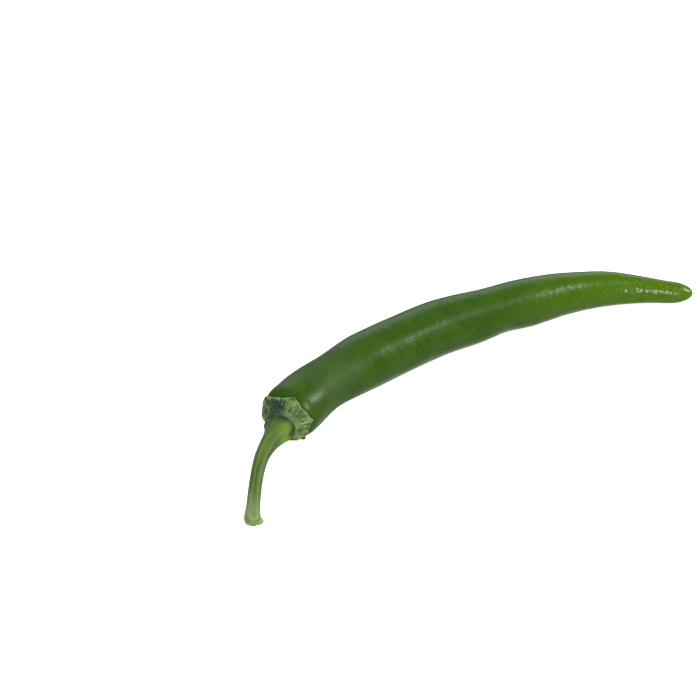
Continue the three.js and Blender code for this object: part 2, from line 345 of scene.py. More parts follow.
def rounded_end(radius, depth, squareness, latitude):
    """A place on a rounded end, whose radius and depth follow one superellipse. Latitude 0 is its pole."""
    power = 2 / squareness
    angle = np.radians(np.clip(latitude, 0, 90))
    return radius * np.sin(angle) ** power, depth * np.cos(angle) ** power


class Grown:
    """A piece that is shaped round a straight axis and bent along a curve."""

    def ring_places(self, along, turn, radius):
        """Points at a radius from the curve, and a turn round it."""
        centre, direction = self.axis(along)
        left = unit(np.cross([0.0, 0.0, 1.0], direction))
        over = np.cross(direction, left)
        angle = np.radians(turn)
        across = left * (radius * np.cos(angle))[..., None]
        return centre + across + over * (radius * np.sin(angle))[..., None]


class PodShape(Grown):
    """The pod's outline and its curve, in metres from the growing point."""

    def __init__(self, sizes):
        self.sizes = sizes
        back = 2 * sizes.shoulder_depth  # far enough for the calyx and the stem's seat
        start = -back * self.level_direction(-back / 2)
        self.track = grown_curve(start, -back, sizes.length + PAST_END, self.level_direction)

    def level_direction(self, along):
        return heading_vector(through(POD_HEADING, along / self.sizes.length), 0)

    def radius(self, along):
        return self.sizes.radius * through(POD_GIRTH, along / self.sizes.length)

    def height(self, along):
        return self.radius(along) + through(POD_LIFT, along / self.sizes.length) * MM

    def axis(self, along):
        along = np.asarray(along, float)
        centre = self.track(along)
        direction = self.level_direction(along)
        centre[..., 2] = self.height(along)
        rise = self.height(along + SLOPE_REACH) - self.height(along - SLOPE_REACH)
        direction[..., 2] = rise / (2 * SLOPE_REACH)
        return centre, unit(direction)

    def lobe(self, along, turn):
        """The share by which the lobes alone move the skin out."""
        sizes = self.sizes
        wound = np.radians(turn) - sizes.lobe_turn - sizes.lobe_twist * along / sizes.length
        return 1 + sizes.lobe_depth * np.cos(sizes.lobes * wound)

    def swelling(self, along, turn):
        """How far the swellings and hollows move the skin out, as a share of the radius."""
        share = np.zeros(np.shape(along))
        for at, side, reach, height in SWELLINGS:
            there = self.radius(at * MM)
            across = np.radians(turn_between(turn, side)) * there
            away = np.hypot(along - at * MM, across) / (reach * MM)
            share = share + height * MM / there * np.exp(-away * away)
        return share

    def shoulder(self, latitude, clearance=0.0):
        """Radius and place along the axis on the pod's shoulder, or at a distance out from it."""
        radius, depth = rounded_end(
            self.radius(self.sizes.shoulder_start) + clearance,
            self.sizes.shoulder_depth + clearance,
            SHOULDER_SQUARENESS, latitude)
        return radius, self.sizes.shoulder_start - depth

    def stations(self):
        """The places along the pod where a ring of skin stands, and each ring's radius."""
        sizes = self.sizes
        latitudes = np.linspace(0, 90, END_STEPS + 1)
        behind, behind_along = self.shoulder(latitudes)
        tip_start = sizes.length - sizes.tip_length
        body = np.arange(sizes.shoulder_start + POD_STEP, tip_start - POD_STEP / 2, POD_STEP)
        share, depth = rounded_end(1.0, sizes.tip_length, TIP_SQUARENESS, latitudes[::-1])
        tip = tip_start + depth
        along = np.concatenate([behind_along, body, tip])
        return along, np.concatenate([behind, self.radius(body), self.radius(tip) * share])


class StemShape(Grown):
    """The stem's outline and its curve, which leaves the middle of the calyx."""

    def __init__(self, sizes, pod, calyx):
        self.sizes = sizes
        reach = pod.sizes.shoulder_depth + 2 * calyx.seat_gap + calyx.wall
        seat, _ = pod.axis(pod.sizes.shoulder_start - reach)
        seat[2] -= sizes.drop
        start = seat + STEM_ROOT * self.direction(0.0)
        self.track = grown_curve(start, STEM_ROOT, sizes.length + PAST_END, self.direction)

    def direction(self, along):
        share = along / self.sizes.length
        return heading_vector(through(STEM_HEADING, share), through(STEM_SLOPE, share))

    def radius(self, along):
        return self.sizes.radius * through(STEM_GIRTH, along / self.sizes.length)

    def axis(self, along):
        along = np.asarray(along, float)
        direction = self.direction(along)
        left = unit(np.cross([0.0, 0.0, 1.0], direction))
        leaning = self.sizes.lean * (1 - ease(0, FLARE_LENGTH, along))
        return self.track(along) + left * leaning[..., None], direction

    def stations(self):
        """The places along the stem where a ring stands, and each ring's radius."""
        sizes = self.sizes
        foot_start = sizes.length - sizes.foot_rounding
        shank = np.arange(STEM_ROOT, foot_start, STEM_STEP)
        share, depth = rounded_end(1.0, sizes.foot_rounding, FOOT_SQUARENESS, np.linspace(90, 0, END_STEPS))
        foot = foot_start + depth
        root = STEM_ROOT - np.array(ROOT_RINGS)
        root_radius = np.array([0, 0.9]) * self.radius(STEM_ROOT)
        return (np.concatenate([root, shank, foot]),
                np.concatenate([root_radius, self.radius(shank), self.radius(foot) * share]))


def growing_point(pod):
    """Where the growing point stands in the frame: the pod lies where its CAD solid does."""
    along, radius = pod.stations()
    turn = np.arange(0, 360, 15.0)
    along, turn = np.meshgrid(along, turn, indexing="ij")
    swell = pod.lobe(along, turn) + pod.swelling(along, turn)
    points = pod.ring_places(along, turn, radius[:, None] * swell).reshape(-1, 3)
    low, high = (np.array(corner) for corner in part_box("pod"))
    shift = (low + high) / 2 - (points.min(0) + points.max(0)) / 2
    shift[2] = low[2] - points[:, 2].min()
    return shift


# ---- nodes ----
def feed(tree, node, inputs):
    """Links each input of a node to a socket, or gives it a value."""
    for name, value in inputs.items():
        if isinstance(value, bpy.types.NodeSocket):
            tree.links.new(value, node.inputs[name])
        else:
            node.inputs[name].default_value = value


def add_node(tree, kind, settings=None, inputs=None):
    """Adds a node with its settings and its inputs, and returns its outputs."""
    node = tree.nodes.new(kind)
    for name, value in (settings or {}).items():
        setattr(node, name, value)
    feed(tree, node, inputs or {})
    return node.outputs


# The Mix node's colour sockets have no names of their own.
MIX_FACTOR, MIX_A, MIX_B, MIX_RESULT = 0, 6, 7, 2

SWEEP_INPUTS = {
    "Rail": "NodeSocketGeometry",
    "Sides": "NodeSocketInt",
    "Ribs": "NodeSocketInt",
    "Rib Depth": "NodeSocketFloat",
    "Rib Turn": "NodeSocketFloat",
    "Rib Twist": "NodeSocketFloat",
    "Dent Height": "NodeSocketFloat",
    "Dent Width": "NodeSocketFloat",
    "Dent Length": "NodeSocketFloat",
    "Seed": "NodeSocketInt",
    "Skin": "NodeSocketMaterial",
}


def grown_sweep_tree():
    """Sweeps a ribbed, slightly uneven skin along a rail whose points carry "along" and "girth".

    The skin keeps "straight", its place before the rail bent it, and "rib", 1 on a rib and -1 between two.
    """
    tree = bpy.data.node_groups.new("Grown Sweep", "GeometryNodeTree")
    for name, kind in SWEEP_INPUTS.items():
        tree.interface.new_socket(name, in_out="INPUT", socket_type=kind)
    tree.interface.new_socket("Skin", in_out="OUTPUT", socket_type="NodeSocketGeometry")
    add = functools.partial(add_node, tree)
    number = {"data_type": "FLOAT", "domain": "POINT"}
    vector = {"data_type": "FLOAT_VECTOR", "domain": "POINT"}

    given = add("NodeGroupInput")
    position = add("GeometryNodeInputPosition")["Position"]
    along, girth, turn = (
        add("GeometryNodeInputNamedAttribute", {"data_type": "FLOAT"}, {"Name": name})["Attribute"]
        for name in ("along", "girth", "turn")
    )
    centre = add("GeometryNodeInputNamedAttribute", {"data_type": "FLOAT_VECTOR"}, {
        "Name": "centre"})["Attribute"]

    # The rail, kept upright so that a turn of 90 is always on top, and each point's own place.
    rail = add("GeometryNodeMeshToCurve", {}, {"Mesh": given["Rail"]})["Curve"]
    rail = add("GeometryNodeSetCurveNormal", {"mode": "Z_UP"}, {"Curve": rail})["Curve"]
    rail = add("GeometryNodeStoreNamedAttribute", vector, {
        "Geometry": rail, "Name": "centre", "Value": position})["Geometry"]

    # One ring of skin. Its first point is at the right of the rail, and it runs on underneath.
    ring = add("GeometryNodeCurvePrimitiveCircle", {"mode": "RADIUS"}, {
        "Resolution": given["Sides"], "Radius": 1.0})["Curve"]
    index = add("GeometryNodeInputIndex")["Index"]
    gone_round = add("ShaderNodeMath", {"operation": "MULTIPLY"}, {0: index, 1: 2 * math.pi})["Value"]
    gone_round = add("ShaderNodeMath", {"operation": "DIVIDE"}, {0: gone_round, 1: given["Sides"]})["Value"]
    ring_turn = add("ShaderNodeMath", {"operation": "SUBTRACT"}, {0: gone_round, 1: math.pi})["Value"]
    ring = add("GeometryNodeStoreNamedAttribute", number, {
        "Geometry": ring, "Name": "turn", "Value": ring_turn})["Geometry"]
    skin = add("GeometryNodeCurveToMesh", {}, {
        "Curve": rail, "Profile Curve": ring, "Scale": girth})["Mesh"]

    # The ribs, which wind slowly round the rail.
    wound = add("ShaderNodeMath", {"operation": "MULTIPLY"}, {0: given["Rib Twist"], 1: along})["Value"]
    wound = add("ShaderNodeMath", {"operation": "ADD"}, {0: given["Rib Turn"], 1: wound})["Value"]
    past_rib = add("ShaderNodeMath", {"operation": "SUBTRACT"}, {0: turn, 1: wound})["Value"]
    past_rib = add("ShaderNodeMath", {"operation": "MULTIPLY"}, {0: past_rib, 1: given["Ribs"]})["Value"]
    rib = add("ShaderNodeMath", {"operation": "COSINE"}, {0: past_rib})["Value"]
    skin = add("GeometryNodeStoreNamedAttribute", number, {
        "Geometry": skin, "Name": "rib", "Value": rib})["Geometry"]
    swell = add("ShaderNodeMath", {"operation": "MULTIPLY"}, {0: rib, 1: given["Rib Depth"]})["Value"]
    swell = add("ShaderNodeMath", {"operation": "ADD"}, {0: swell, 1: 1.0})["Value"]
    outwards = add("ShaderNodeVectorMath", {"operation": "SUBTRACT"}, {0: position, 1: centre})["Vector"]
    outwards = add("ShaderNodeVectorMath", {"operation": "SCALE"}, {0: outwards, "Scale": swell})["Vector"]
    ribbed = add("ShaderNodeVectorMath", {"operation": "ADD"}, {0: centre, 1: outwards})["Vector"]
    skin = add("GeometryNodeSetPosition", {}, {"Geometry": skin, "Position": ribbed})["Geometry"]

    # Each point's place on the straight piece.
    radius = add("ShaderNodeMath", {"operation": "MULTIPLY"}, {0: girth, 1: swell})["Value"]
    sides = {}
    for axis, operation in (("X", "COSINE"), ("Y", "SINE")):
        share = add("ShaderNodeMath", {"operation": operation}, {0: turn})["Value"]
        sides[axis] = add("ShaderNodeMath", {"operation": "MULTIPLY"}, {0: radius, 1: share})["Value"]
    straight = add("ShaderNodeCombineXYZ", {}, {**sides, "Z": along})["Vector"]
    skin = add("GeometryNodeStoreNamedAttribute", vector, {
        "Geometry": skin, "Name": "straight", "Value": straight})["Geometry"]

    # The slight unevenness of everything that grows.
    straight = add("GeometryNodeInputNamedAttribute", {"data_type": "FLOAT_VECTOR"}, {
        "Name": "straight"})["Attribute"]
    size = add("ShaderNodeCombineXYZ", {}, {
        "X": given["Dent Width"], "Y": given["Dent Width"], "Z": given["Dent Length"]})["Vector"]
    pattern = add("ShaderNodeVectorMath", {"operation": "DIVIDE"}, {0: straight, 1: size})["Vector"]
    pattern = add("ShaderNodeVectorMath", {"operation": "ADD"}, {0: pattern, 1: given["Seed"]})["Vector"]
    uneven = add("ShaderNodeTexNoise", {"noise_dimensions": "3D"}, {
        "Vector": pattern, "Scale": 1.0, "Detail": 2.0})["Fac"]
    height = add("ShaderNodeMath", {"operation": "SUBTRACT"}, {0: uneven, 1: 0.5})["Value"]
    height = add("ShaderNodeMath", {"operation": "MULTIPLY"}, {0: height, 1: 2.0})["Value"]
    height = add("ShaderNodeMath", {"operation": "MULTIPLY"}, {0: height, 1: given["Dent Height"]})["Value"]
    normal = add("GeometryNodeInputNormal")["Normal"]
    dent = add("ShaderNodeVectorMath", {"operation": "SCALE"}, {0: normal, "Scale": height})["Vector"]
    skin = add("GeometryNodeSetPosition", {}, {"Geometry": skin, "Offset": dent})["Geometry"]

    # The rings shrink to a point at the two poles: those points become one.
    skin = add("GeometryNodeMergeByDistance", {"mode": "ALL"}, {
        "Geometry": skin, "Distance": 0.0008 * MM})["Geometry"]
    skin = add("GeometryNodeSetShadeSmooth", {}, {"Geometry": skin})["Geometry"]
    skin = add("GeometryNodeRealizeInstances", {}, {"Geometry": skin})["Geometry"]
    skin = add("GeometryNodeSetMaterial", {}, {"Geometry": skin, "Material": given["Skin"]})["Geometry"]
    add("NodeGroupOutput", {}, {"Skin": skin})
    return tree


# ---- meshes ----
def write_attribute(mesh, name, values):
    """Keeps one number or one vector for each point of a mesh."""
    kind, field = ("FLOAT_VECTOR", "vector") if values.ndim == 2 else ("FLOAT", "value")
    layer = mesh.attributes.new(name, kind, "POINT")
    layer.data.foreach_set(field, np.ascontiguousarray(values, np.float32).ravel())


def read_attribute(mesh, name):
    layer = mesh.attributes[name]
    width, field = (3, "vector") if layer.data_type == "FLOAT_VECTOR" else (1, "value")
    values = np.zeros(len(layer.data) * width, np.float32)
    layer.data.foreach_get(field, values)
    return values.reshape(-1, 3).astype(float) if width == 3 else values.astype(float)


def read_points(mesh):
    points = np.zeros(len(mesh.vertices) * 3, np.float32)
    mesh.vertices.foreach_get("co", points)
    return points.reshape(-1, 3).astype(float)


def write_points(mesh, points):
    mesh.vertices.foreach_set("co", np.ascontiguousarray(points, np.float32).ravel())
    mesh.update()


def rested(points):
    """The points of a piece that lies on the table: none of them goes below it."""
    return np.column_stack([points[:, :2], np.maximum(points[:, 2], 0)])


def close_up(mesh):
    """Merges points that lie on each other and turns the faces outwards."""
    shell = bmesh.new()
    shell.from_mesh(mesh)
    bmesh.ops.remove_doubles(shell, verts=shell.verts, dist=SAME_POINT)
    bmesh.ops.recalc_face_normals(shell, faces=shell.faces)
    if shell.calc_volume(signed=True) < 0:
        bmesh.ops.reverse_faces(shell, faces=shell.faces)
    shell.to_mesh(mesh)
    shell.free()
    mesh.update()


def closed_sheet(name, points):
    """A mesh from rows of points that close up both ways, as on a ring."""
    rows, columns = points.shape[:2]
    faces = [
        (row * columns + i, row * columns + (i + 1) % columns,
         (row + 1) % rows * columns + (i + 1) % columns, (row + 1) % rows * columns + i)
        for row in range(rows) for i in range(columns)
    ]
    mesh = bpy.data.meshes.new(name)
    mesh.from_pydata(points.reshape(-1, 3).tolist(), [], faces)
    return mesh


def surface_noise(points, octaves):
    """Smooth noise, about -1 to 1, at each point."""
    flat = points.reshape(-1, 3)
    values = [noise.fractal(Vector(point), 0.9, 2.0, octaves) for point in flat.tolist()]
    return np.array(values).reshape(points.shape[:-1])


def sweep(name, shape, shift, ribs, dents, seed, material):
    """Runs the Grown Sweep along a shape's rail and returns a plain mesh object."""
    along, girth = shape.stations()
    rail_points = shape.axis(along)[0] + shift
    rail = bpy.data.meshes.new(name + "_rail")
    edges = [(i, i + 1) for i in range(len(along) - 1)]
    rail.from_pydata([tuple(point) for point in rail_points], edges, [])
    write_attribute(rail, "along", along)
    write_attribute(rail, "girth", girth)
    piece = bpy.data.objects.new(name, rail)
    bpy.context.scene.collection.objects.link(piece)
    modifier = piece.modifiers.new("Grown Sweep", "NODES")
    modifier.node_group = grown_sweep_tree()
    values = dict(zip(("Ribs", "Rib Depth", "Rib Turn", "Rib Twist"), ribs))
    values.update(zip(("Dent Height", "Dent Width", "Dent Length"), dents))
    values.update({"Sides": shape.sizes.sides, "Seed": seed, "Skin": material})
    for item in modifier.node_group.interface.items_tree:
        if item.in_out == "INPUT" and item.name in values:
            modifier[item.identifier] = values[item.name]
    bpy.context.view_layer.update()
    evaluated = piece.evaluated_get(bpy.context.evaluated_depsgraph_get())
    skin = bpy.data.meshes.new_from_object(evaluated)
    piece.modifiers.remove(modifier)
    piece.data = skin
    skin.name = name
    close_up(skin)
    return piece


def swept_places(skin):
    """For each point of a swept skin: its place along, its turn, its centre and its way out from there."""
    centre = read_attribute(skin, "centre")
    turn = np.degrees(read_attribute(skin, "turn"))
    return read_attribute(skin, "along"), turn, centre, read_points(skin) - centre


def finish_piece(piece, node):
    """Puts a piece on the chilli's one body, in place of its CAD node."""
    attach(piece, "root")
    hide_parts(node)


# ---- materials ----
WAX_IOR = 1.38
LEAF_IOR = 1.45
BLOOM_COLOUR = "#c9d8e0"  # the pale, bluish sheen of a fresh plant's skin


def new_material(name):
    """A material with its node tree and its shader."""
    material = bpy.data.materials.new(name)
    material.use_nodes = True
    tree = material.node_tree
    shader = tree.nodes["Principled BSDF"]
    return material, tree, shader


def pod_skin_material(pod):
    """Waxed skin of a fresh green chilli: smooth, glossy and finely rippled.

    The wax makes soft, broad highlights over a deep green that is faintly blotched, and the skin turns
    yellower and glossier towards the tip.
    """
    material, tree, shader = new_material("Waxed Chilli Skin")
    add = functools.partial(add_node, tree)
    place = add("ShaderNodeAttribute", {"attribute_name": "straight"})["Vector"]
    along = add("ShaderNodeSeparateXYZ", {}, {"Vector": place})["Z"]
    blotches = add("ShaderNodeTexNoise", {}, {
        "Vector": place, "Scale": 1 / (9 * MM), "Detail": 2.0, "Roughness": 0.5})["Fac"]
    flecks = add("ShaderNodeTexNoise", {}, {
        "Vector": place, "Scale": 1 / (1.3 * MM), "Detail": 2.0, "Roughness": 0.6})["Fac"]
    blotched = add("ShaderNodeMapRange", {"interpolation_type": "SMOOTHSTEP"}, {
        "Value": blotches, "From Min": 0.35, "From Max": 0.65})["Result"]
    ripening = add("ShaderNodeMapRange", {"interpolation_type": "SMOOTHSTEP"}, {
        "Value": along, "From Min": 0.45 * pod.length, "From Max": pod.length, "To Max": 0.9})["Result"]
    green = pod.deep
    for share, colour in ((blotched, pod.fresh), (ripening, pod.young)):
        green = add("ShaderNodeMix", {"data_type": "RGBA"}, {
            MIX_FACTOR: share, MIX_A: green, MIX_B: colour})[MIX_RESULT]
    fleck_share = add("ShaderNodeMapRange", {}, {
        "Value": flecks, "From Min": 0.3, "From Max": 0.7, "To Min": 0.88, "To Max": 1.12})["Result"]
    green = add("ShaderNodeVectorMath", {"operation": "SCALE"}, {0: green, "Scale": fleck_share})["Vector"]

    # Darker spots, 1 to 2 mm across, in a quarter of the cells, from the belly on
    cells = add("ShaderNodeTexVoronoi", {"feature": "F1"}, {"Vector": place, "Scale": 1 / (8 * MM)})
    near = add("ShaderNodeMapRange", {"interpolation_type": "SMOOTHSTEP"}, {
        "Value": cells["Distance"], "From Min": 0.05, "From Max": 0.15,
        "To Min": 1.0, "To Max": 0.0})["Result"]
    chance = add("ShaderNodeSeparateColor", {}, {"Color": cells["Color"]})["Red"]
    chosen = add("ShaderNodeMath", {"operation": "GREATER_THAN"}, {0: chance, 1: 0.75})["Value"]
    spots = add("ShaderNodeMath", {"operation": "MULTIPLY"}, {0: near, 1: chosen})["Value"]
    belly = add("ShaderNodeMapRange", {"interpolation_type": "SMOOTHSTEP"}, {
        "Value": along, "From Min": 0.25 * pod.length, "From Max": 0.4 * pod.length, "To Max": 0.6})["Result"]
    spots = add("ShaderNodeMath", {"operation": "MULTIPLY"}, {0: spots, 1: belly})["Value"]
    # The dry scar at the very tip, where the flower sat
    scar = add("ShaderNodeMapRange", {"interpolation_type": "SMOOTHSTEP"}, {
        "Value": along, "From Min": pod.length - 0.35 * MM, "From Max": pod.length, "To Max": 0.8})["Result"]
    for share, colour in ((spots, pod.spot), (scar, pod.scar)):
        green = add("ShaderNodeMix", {"data_type": "RGBA"}, {
            MIX_FACTOR: share, MIX_A: green, MIX_B: colour})[MIX_RESULT]

    # Wax bloom dulls the pod, and wears off towards the tip and in patches.
    bloom = add("ShaderNodeMapRange", {"interpolation_type": "SMOOTHSTEP"}, {
        "Value": along, "From Min": 0.55 * pod.length, "From Max": 0.8 * pod.length,
        "To Min": 0.28, "To Max": 0.21})["Result"]
    # The neck is dullest, so that the shoulder's highlight ends softly.
    neck = add("ShaderNodeMapRange", {"interpolation_type": "SMOOTHSTEP"}, {
        "Value": along, "From Min": 6 * MM, "From Max": 12 * MM, "To Min": 0.06, "To Max": 0.28})["Result"]
    past_neck = add("ShaderNodeMapRange", {"interpolation_type": "SMOOTHSTEP"}, {
        "Value": along, "From Min": 22 * MM, "From Max": 32 * MM, "To Max": 0.28})["Result"]
    neck = add("ShaderNodeMath", {"operation": "SUBTRACT"}, {0: neck, 1: past_neck})["Value"]
    worn = add("ShaderNodeMath", {"operation": "MULTIPLY_ADD"}, {0: blotches, 1: 0.12, 2: -0.06})["Value"]
    for part in (neck, worn):
        bloom = add("ShaderNodeMath", {"operation": "ADD"}, {0: bloom, 1: part})["Value"]

    # Ripples of about 2 mm run round the pod, deepest near the tip, and pits of 0.8 mm cover it.
    hoops = add("ShaderNodeMapping", {}, {"Vector": place, "Scale": (0.35, 0.35, 1)})["Vector"]
    ripples = add("ShaderNodeTexNoise", {}, {"Vector": hoops, "Scale": 1 / (1.8 * MM), "Detail": 1.0})["Fac"]
    deepening = add("ShaderNodeMapRange", {"interpolation_type": "SMOOTHSTEP"}, {
        "Value": along, "From Min": 0.73 * pod.length, "From Max": 0.88 * pod.length,
        "To Min": 0.3, "To Max": 1.2})["Result"]
    ripples = add("ShaderNodeMath", {"operation": "MULTIPLY"}, {0: ripples, 1: deepening})["Value"]
    pits = add("ShaderNodeTexNoise", {}, {"Vector": place, "Scale": 1 / (0.8 * MM), "Detail": 1.0})["Fac"]
    rippled = add("ShaderNodeBump", {}, {"Height": ripples, "Strength": 1.0, "Distance": 0.3 * MM})["Normal"]
    pitted = add("ShaderNodeBump", {}, {
        "Height": pits, "Strength": 1.0, "Distance": 0.04 * MM, "Normal": rippled})["Normal"]
    feed(tree, shader, {
        "Base Color": green, "Roughness": bloom, "Normal": pitted, "IOR": WAX_IOR,
        "Sheen Weight": 0.06, "Sheen Roughness": 0.4, "Sheen Tint": linear(BLOOM_COLOUR)})
    return material


def calyx_material(calyx):
    """Leathery calyx: a dull, wrinkled leaf with painted shade in its hollows and painted light on its folds
    and pleats, a pale thin edge and dry spurs.
    """
    material, tree, shader = new_material("Leathery Calyx")
    add = functools.partial(add_node, tree)
    place = add("ShaderNodeAttribute", {"attribute_name": "straight"})["Vector"]
    fold, pleat, shaded, rim, dry, bleached = (
        add("ShaderNodeAttribute", {"attribute_name": name})["Fac"]
        for name in ("fold", "pleat", "shaded", "rim", "dry", "bleached")
    )
    mottles = add("ShaderNodeTexNoise", {}, {
        "Vector": place, "Scale": 1 / (0.8 * MM), "Detail": 2.0, "Roughness": 0.6})["Fac"]
    # Painted light and shade: raised folds and pleats are painted lighter and their hollows darker. One side
    # is darker, partly in its own colour and partly as painted shade. The mottles are the leaf's own tone.
    raised = 0.0
    for mark, weight in ((fold, 0.55), (mottles, 1.6), (pleat, 0.8), (shaded, -1.1)):
        raised = add("ShaderNodeMath", {"operation": "MULTIPLY_ADD"}, {
            0: mark, 1: weight, 2: raised})["Value"]
    lit = add("ShaderNodeMapRange", {"interpolation_type": "SMOOTHSTEP"}, {
        "Value": raised, "From Min": -0.6, "From Max": 1.9})["Result"]
    husk = add("ShaderNodeMix", {"data_type": "RGBA"}, {
        MIX_FACTOR: bleached, MIX_A: calyx.dry, MIX_B: calyx.bleached})[MIX_RESULT]
    green = calyx.hollow
    for share, colour in ((lit, calyx.ridge), (rim, calyx.rim), (dry, husk)):
        green = add("ShaderNodeMix", {"data_type": "RGBA"}, {
            MIX_FACTOR: share, MIX_A: green, MIX_B: colour})[MIX_RESULT]
    roughness = add("ShaderNodeMapRange", {}, {
        "Value": mottles, "From Min": 0.3, "From Max": 0.7, "To Min": 0.48, "To Max": 0.68})["Result"]

    # Fine wrinkles of about 0.4 mm
    creases = add("ShaderNodeTexNoise", {}, {
        "Vector": place, "Scale": 1 / (0.4 * MM), "Detail": 3.0, "Roughness": 0.6})["Fac"]
    wrinkled = add("ShaderNodeBump", {}, {
        "Height": creases, "Strength": 1.0, "Distance": 0.09 * MM})["Normal"]
    feed(tree, shader, {
        "Base Color": green, "Roughness": roughness, "Normal": wrinkled, "IOR": LEAF_IOR,
        "Sheen Weight": 0.1, "Sheen Tint": linear(BLOOM_COLOUR)})
    return material


def stem_material(stem):
    """Fibrous stem: a satin green stalk with lengthwise fibres, pale at its foot and brown where rubbed, with
    painted shade in its furrows, on the flare's far side and at the calyx, and painted light on the flare's
    near side.
    """
    material, tree, shader = new_material("Fibrous Green Stem")
    add = functools.partial(add_node, tree)
    place = add("ShaderNodeAttribute", {"attribute_name": "straight"})["Vector"]
    rib = add("ShaderNodeAttribute", {"attribute_name": "rib"})["Fac"]
    along = add("ShaderNodeSeparateXYZ", {}, {"Vector": place})["Z"]
    # The fibres follow the stem's swellings, so they are drawn on a straight rod of its shank's radius.
    side = add("ShaderNodeVectorMath", {"operation": "MULTIPLY"}, {0: place, 1: (1, 1, 0)})["Vector"]
    side = add("ShaderNodeVectorMath", {"operation": "NORMALIZE"}, {0: side})["Vector"]
    rod = add("ShaderNodeVectorMath", {"operation": "SCALE"}, {0: side, "Scale": stem.radius})["Vector"]
    lengthwise = add("ShaderNodeCombineXYZ", {}, {"Z": along})["Vector"]
    rod = add("ShaderNodeVectorMath", {"operation": "MULTIPLY_ADD"}, {
        0: lengthwise, 1: (0, 0, 0.08), 2: rod})["Vector"]
    fibres = add("ShaderNodeTexNoise", {}, {
        "Vector": rod, "Scale": 1 / (0.45 * MM), "Detail": 3.0, "Roughness": 0.6})["Fac"]
    # Painted shade: the furrows between the ridges are painted darker.
    furrow = add("ShaderNodeMapRange", {"interpolation_type": "SMOOTHSTEP"}, {
        "Value": rib, "From Min": -1.0, "From Max": -0.5, "To Min": -0.09, "To Max": 0.0})["Result"]
    raised = add("ShaderNodeMath", {"operation": "ADD"}, {0: furrow, 1: fibres})["Value"]
    lit = add("ShaderNodeMapRange", {"interpolation_type": "SMOOTHSTEP"}, {
        "Value": raised, "From Min": 0.15, "From Max": 0.6})["Result"]
    bands = add("ShaderNodeTexNoise", {}, {
        "Vector": rod, "Scale": 1 / (1.2 * MM), "Detail": 2.0})["Fac"]
    yellow_and_painted_light = add("ShaderNodeMapRange", {"interpolation_type": "SMOOTHSTEP"}, {
        "Value": bands, "From Min": 0.5, "From Max": 0.72, "To Max": 0.45})["Result"]
    # Painted light and shade on the flare: the side that faces up and to the right is painted lighter and
    # yellower, and the other side is painted darker.
    facing = add("ShaderNodeVectorMath", {"operation": "DOT_PRODUCT"}, {
        0: side, 1: (math.cos(YELLOW_TURN), math.sin(YELLOW_TURN), 0)})["Value"]
    painted_light_side = add("ShaderNodeMapRange", {"interpolation_type": "SMOOTHSTEP"}, {
        "Value": facing, "From Min": 0.35, "From Max": 0.95, "To Min": 0.0, "To Max": 0.8})["Result"]
    painted_shade_side = add("ShaderNodeMapRange", {"interpolation_type": "SMOOTHSTEP"}, {
        "Value": facing, "From Min": -0.8, "From Max": 0.5, "To Min": 0.7, "To Max": 0.0})["Result"]
    near_calyx = add("ShaderNodeMapRange", {"interpolation_type": "SMOOTHSTEP"}, {
        "Value": along, "From Min": 3 * MM, "From Max": 8 * MM, "To Min": 1.0, "To Max": 0.0})["Result"]
    painted_side_light = add("ShaderNodeMath", {"operation": "MULTIPLY"}, {0: painted_light_side, 1: near_calyx})["Value"]
    painted_side_shade = add("ShaderNodeMath", {"operation": "MULTIPLY"}, {0: painted_shade_side, 1: near_calyx})["Value"]
    # The real yellower streaks and the painted light of the flare's near side share one mix.
    yellow_and_painted_light = add("ShaderNodeMath", {"operation": "ADD"}, {0: yellow_and_painted_light, 1: painted_side_light})["Value"]
    # Painted shade: where it leaves the calyx it is painted as dark as the calyx's folds, in patches.
    painted_root_shade = add("ShaderNodeMath", {"operation": "MULTIPLY_ADD"}, {0: bands, 1: -4 * MM, 2: along})["Value"]
    painted_root_shade = add("ShaderNodeMapRange", {"interpolation_type": "SMOOTHSTEP"}, {
        "Value": painted_root_shade, "From Min": -0.6 * MM, "From Max": 1.4 * MM,
        "To Min": 0.9, "To Max": 0.0})["Result"]
    # The foot pales in streaks.
    footed = add("ShaderNodeMapRange", {"interpolation_type": "SMOOTHSTEP"}, {
        "Value": along, "From Min": stem.length - 13 * MM, "From Max": stem.length})["Result"]
    streaked = add("ShaderNodeMapRange", {}, {
        "Value": bands, "From Min": 0.35, "From Max": 0.65, "To Min": 0.35})["Result"]
    footed = add("ShaderNodeMath", {"operation": "MULTIPLY"}, {0: footed, 1: streaked})["Value"]
    rubs = add("ShaderNodeTexNoise", {}, {
        "Vector": place, "Scale": 1 / (1.1 * MM), "Detail": 3.0, "Roughness": 0.7})["Fac"]
    rubbed = add("ShaderNodeMapRange", {"interpolation_type": "SMOOTHSTEP"}, {
        "Value": rubs, "From Min": 0.62, "From Max": 0.74, "To Max": 0.4})["Result"]
